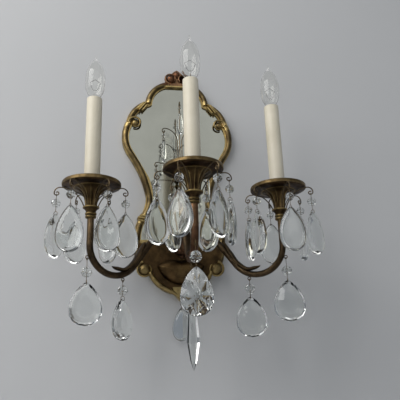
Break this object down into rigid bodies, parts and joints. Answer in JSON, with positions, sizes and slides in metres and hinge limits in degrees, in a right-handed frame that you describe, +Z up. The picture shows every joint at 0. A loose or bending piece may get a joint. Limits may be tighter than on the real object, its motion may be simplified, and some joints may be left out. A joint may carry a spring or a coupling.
{
  "type": "crystal wall sconce",
  "caption": "Wall sconce with a mirrored cast frame, S-shaped arms holding candle lamps, and pear-shaped crystals hung on wire hooks.",
  "frame": {"origin": "centre of the wall fixing, on the wall plane, behind the hub that the arms spring from", "axes": "+Y into the wall, so the front faces -Y; +Z up; +X to the right as seen from the front"},
  "size_m": [0.4224, 0.2468, 0.5569],
  "materials": {
    "patinated_brass": "dark patina with rubbed golden ridges",
    "mirror": "slightly aged silvering",
    "backing_board": "plain thin hardboard",
    "ivory_sleeve": "matt ivory",
    "socket_plastic": "dark moulded",
    "wire_cover": "gold coloured cover",
    "plated_steel": "zinc plated",
    "lamp_glass": "clear",
    "crystal": "clear, cut and polished"
  },
  "bodies": {
    "sconce": {"wall_frame": "patinated_brass", "mirror": "mirror", "mirror_backing": "backing_board", "mirror_clips": "plated_steel", "shield_boss": "patinated_brass", "arm_hub": "patinated_brass", "mounting_bar": "plated_steel", "threaded_tubes": "plated_steel", "lock_nuts": "plated_steel", "arm_left": "patinated_brass", "arm_centre": "patinated_brass", "arm_right": "patinated_brass", "cup_left": "patinated_brass", "cup_centre": "patinated_brass", "cup_right": "patinated_brass", "pan_left": "patinated_brass", "pan_centre": "patinated_brass", "pan_right": "patinated_brass", "hooks_left": "patinated_brass", "hooks_centre": "patinated_brass", "hooks_right": "patinated_brass", "candle_sleeve_left": "ivory_sleeve", "candle_sleeve_centre": "ivory_sleeve", "candle_sleeve_right": "ivory_sleeve", "sockets": "socket_plastic", "lead_wires": "wire_cover", "spray_frame": "patinated_brass"},
    "lamp_left_body": {"lamp_left": "lamp_glass"},
    "lamp_centre_body": {"lamp_centre": "lamp_glass"},
    "lamp_right_body": {"lamp_right": "lamp_glass"},
    "pendant_left_1_body": {"pendant_left_1": "crystal"},
    "pendant_left_2_body": {"pendant_left_2": "crystal"},
    "pendant_left_3_body": {"pendant_left_3": "crystal"},
    "pendant_left_4_body": {"pendant_left_4": "crystal"},
    "pendant_left_5_body": {"pendant_left_5": "crystal"},
    "pendant_left_6_body": {"pendant_left_6": "crystal"},
    "pendant_centre_1_body": {"pendant_centre_1": "crystal"},
    "pendant_centre_2_body": {"pendant_centre_2": "crystal"},
    "pendant_centre_3_body": {"pendant_centre_3": "crystal"},
    "pendant_centre_4_body": {"pendant_centre_4": "crystal"},
    "pendant_centre_5_body": {"pendant_centre_5": "crystal"},
    "pendant_centre_6_body": {"pendant_centre_6": "crystal"},
    "pendant_right_1_body": {"pendant_right_1": "crystal"},
    "pendant_right_2_body": {"pendant_right_2": "crystal"},
    "pendant_right_3_body": {"pendant_right_3": "crystal"},
    "pendant_right_4_body": {"pendant_right_4": "crystal"},
    "pendant_right_5_body": {"pendant_right_5": "crystal"},
    "pendant_right_6_body": {"pendant_right_6": "crystal"},
    "pendant_left_outer_body": {"pendant_left_outer": "crystal"},
    "pendant_left_inner_body": {"pendant_left_inner": "crystal"},
    "pendant_right_outer_body": {"pendant_right_outer": "crystal"},
    "pendant_right_inner_body": {"pendant_right_inner": "crystal"},
    "pendant_front_body": {"pendant_front": "crystal"},
    "pendant_spear_body": {"pendant_spear": "crystal"},
    "pendant_tip_body": {"pendant_tip": "crystal"},
    "pendant_spray_top_body": {"pendant_spray_top": "crystal"},
    "pendant_spray_upper_left_body": {"pendant_spray_upper_left": "crystal"},
    "pendant_spray_upper_right_body": {"pendant_spray_upper_right": "crystal"},
    "pendant_spray_lower_left_body": {"pendant_spray_lower_left": "crystal"},
    "pendant_spray_lower_right_body": {"pendant_spray_lower_right": "crystal"}
  },
  "joints": [
    {"name": "lamp_left_out", "type": "slide", "parent": "sconce", "child": "lamp_left_body", "axis": [0, 0, 1], "range_m": [0, 0.045]},
    {"name": "lamp_centre_out", "type": "slide", "parent": "sconce", "child": "lamp_centre_body", "axis": [0, 0, 1], "range_m": [0, 0.045]},
    {"name": "lamp_right_out", "type": "slide", "parent": "sconce", "child": "lamp_right_body", "axis": [0, 0, 1], "range_m": [0, 0.045]},
    {"name": "swing_left_1", "type": "hinge", "parent": "sconce", "child": "pendant_left_1_body", "pos_m": [-0.09711, -0.124, 0.06449], "axis": [1, 0, 0], "range_deg": [-8, 8]},
    {"name": "swing_left_2", "type": "hinge", "parent": "sconce", "child": "pendant_left_2_body", "pos_m": [-0.12305, -0.07906, 0.06449], "axis": [0.5, 0.866, 0], "range_deg": [-8, 8]},
    {"name": "swing_left_3", "type": "hinge", "parent": "sconce", "child": "pendant_left_3_body", "pos_m": [-0.17495, -0.07906, 0.06449], "axis": [-0.5, 0.866, 0], "range_deg": [-8, 8]},
    {"name": "swing_left_4", "type": "hinge", "parent": "sconce", "child": "pendant_left_4_body", "pos_m": [-0.20089, -0.124, 0.06449], "axis": [-1, 0, 0], "range_deg": [-8, 8]},
    {"name": "swing_left_5", "type": "hinge", "parent": "sconce", "child": "pendant_left_5_body", "pos_m": [-0.17495, -0.16894, 0.06449], "axis": [-0.5, -0.866, 0], "range_deg": [-8, 8]},
    {"name": "swing_left_6", "type": "hinge", "parent": "sconce", "child": "pendant_left_6_body", "pos_m": [-0.12305, -0.16894, 0.06449], "axis": [0.5, -0.866, 0], "range_deg": [-8, 8]},
    {"name": "swing_centre_1", "type": "hinge", "parent": "sconce", "child": "pendant_centre_1_body", "pos_m": [0.05339, -0.188, 0.07049], "axis": [1, 0, 0], "range_deg": [-8, 8]},
    {"name": "swing_centre_2", "type": "hinge", "parent": "sconce", "child": "pendant_centre_2_body", "pos_m": [0.0267, -0.14176, 0.07049], "axis": [0.5, 0.866, 0], "range_deg": [-8, 8]},
    {"name": "swing_centre_3", "type": "hinge", "parent": "sconce", "child": "pendant_centre_3_body", "pos_m": [-0.0267, -0.14176, 0.07049], "axis": [-0.5, 0.866, 0], "range_deg": [-8, 8]},
    {"name": "swing_centre_4", "type": "hinge", "parent": "sconce", "child": "pendant_centre_4_body", "pos_m": [-0.05339, -0.188, 0.07049], "axis": [-1, 0, 0], "range_deg": [-8, 8]},
    {"name": "swing_centre_5", "type": "hinge", "parent": "sconce", "child": "pendant_centre_5_body", "pos_m": [-0.0267, -0.23424, 0.07049], "axis": [-0.5, -0.866, 0], "range_deg": [-8, 8]},
    {"name": "swing_centre_6", "type": "hinge", "parent": "sconce", "child": "pendant_centre_6_body", "pos_m": [0.0267, -0.23424, 0.07049], "axis": [0.5, -0.866, 0], "range_deg": [-8, 8]},
    {"name": "swing_right_1", "type": "hinge", "parent": "sconce", "child": "pendant_right_1_body", "pos_m": [0.19394, -0.09805, 0.06449], "axis": [0.866, 0.5, 0], "range_deg": [-8, 8]},
    {"name": "swing_right_2", "type": "hinge", "parent": "sconce", "child": "pendant_right_2_body", "pos_m": [0.149, -0.07211, 0.06449], "axis": [0, 1, 0], "range_deg": [-8, 8]},
    {"name": "swing_right_3", "type": "hinge", "parent": "sconce", "child": "pendant_right_3_body", "pos_m": [0.10406, -0.09805, 0.06449], "axis": [-0.866, 0.5, 0], "range_deg": [-8, 8]},
    {"name": "swing_right_4", "type": "hinge", "parent": "sconce", "child": "pendant_right_4_body", "pos_m": [0.10406, -0.14995, 0.06449], "axis": [-0.866, -0.5, 0], "range_deg": [-8, 8]},
    {"name": "swing_right_5", "type": "hinge", "parent": "sconce", "child": "pendant_right_5_body", "pos_m": [0.149, -0.17589, 0.06449], "axis": [0, -1, 0], "range_deg": [-8, 8]},
    {"name": "swing_right_6", "type": "hinge", "parent": "sconce", "child": "pendant_right_6_body", "pos_m": [0.19394, -0.14995, 0.06449], "axis": [0.866, -0.5, 0], "range_deg": [-8, 8]},
    {"name": "swing_left_outer", "type": "hinge", "parent": "sconce", "child": "pendant_left_outer_body", "pos_m": [-0.15191, -0.12576, -0.03392], "axis": [-0.856, -0.517, 0], "range_deg": [-15, 15]},
    {"name": "swing_left_inner", "type": "hinge", "parent": "sconce", "child": "pendant_left_inner_body", "pos_m": [-0.09958, -0.09415, -0.06243], "axis": [-0.856, -0.517, 0], "range_deg": [-15, 15]},
    {"name": "swing_right_outer", "type": "hinge", "parent": "sconce", "child": "pendant_right_outer_body", "pos_m": [0.15191, -0.12576, -0.03392], "axis": [0.856, -0.517, 0], "range_deg": [-15, 15]},
    {"name": "swing_right_inner", "type": "hinge", "parent": "sconce", "child": "pendant_right_inner_body", "pos_m": [0.09958, -0.09415, -0.06243], "axis": [0.856, -0.517, 0], "range_deg": [-15, 15]},
    {"name": "swing_front", "type": "hinge", "parent": "sconce", "child": "pendant_front_body", "pos_m": [0, -0.18905, -0.02492], "axis": [0, -1, 0], "range_deg": [-15, 15]},
    {"name": "swing_spear", "type": "hinge", "parent": "sconce", "child": "pendant_spear_body", "pos_m": [0, -0.13977, -0.04791], "axis": [0, -1, 0], "range_deg": [-20, 20]},
    {"name": "swing_tip", "type": "hinge", "parent": "sconce", "child": "pendant_tip_body", "pos_m": [0, -0.012, -0.09045], "axis": [0, -1, 0], "range_deg": [-15, 15]},
    {"name": "swing_spray_top", "type": "hinge", "parent": "sconce", "child": "pendant_spray_top_body", "pos_m": [0, -0.0454, 0.2674], "axis": [0, -1, 0], "range_deg": [-15, 15]},
    {"name": "swing_spray_upper_left", "type": "hinge", "parent": "sconce", "child": "pendant_spray_upper_left_body", "pos_m": [-0.02985, -0.042, 0.2139], "axis": [-0.9659, -0.2588, 0], "range_deg": [-15, 15]},
    {"name": "swing_spray_upper_right", "type": "hinge", "parent": "sconce", "child": "pendant_spray_upper_right_body", "pos_m": [0.02985, -0.042, 0.2139], "axis": [0.9659, -0.2588, 0], "range_deg": [-15, 15]},
    {"name": "swing_spray_lower_left", "type": "hinge", "parent": "sconce", "child": "pendant_spray_lower_left_body", "pos_m": [-0.04477, -0.05488, 0.1419], "axis": [-0.9063, -0.4226, 0], "range_deg": [-15, 15]},
    {"name": "swing_spray_lower_right", "type": "hinge", "parent": "sconce", "child": "pendant_spray_lower_right_body", "pos_m": [0.04477, -0.05488, 0.1419], "axis": [0.9063, -0.4226, 0], "range_deg": [-15, 15]}
  ]
}
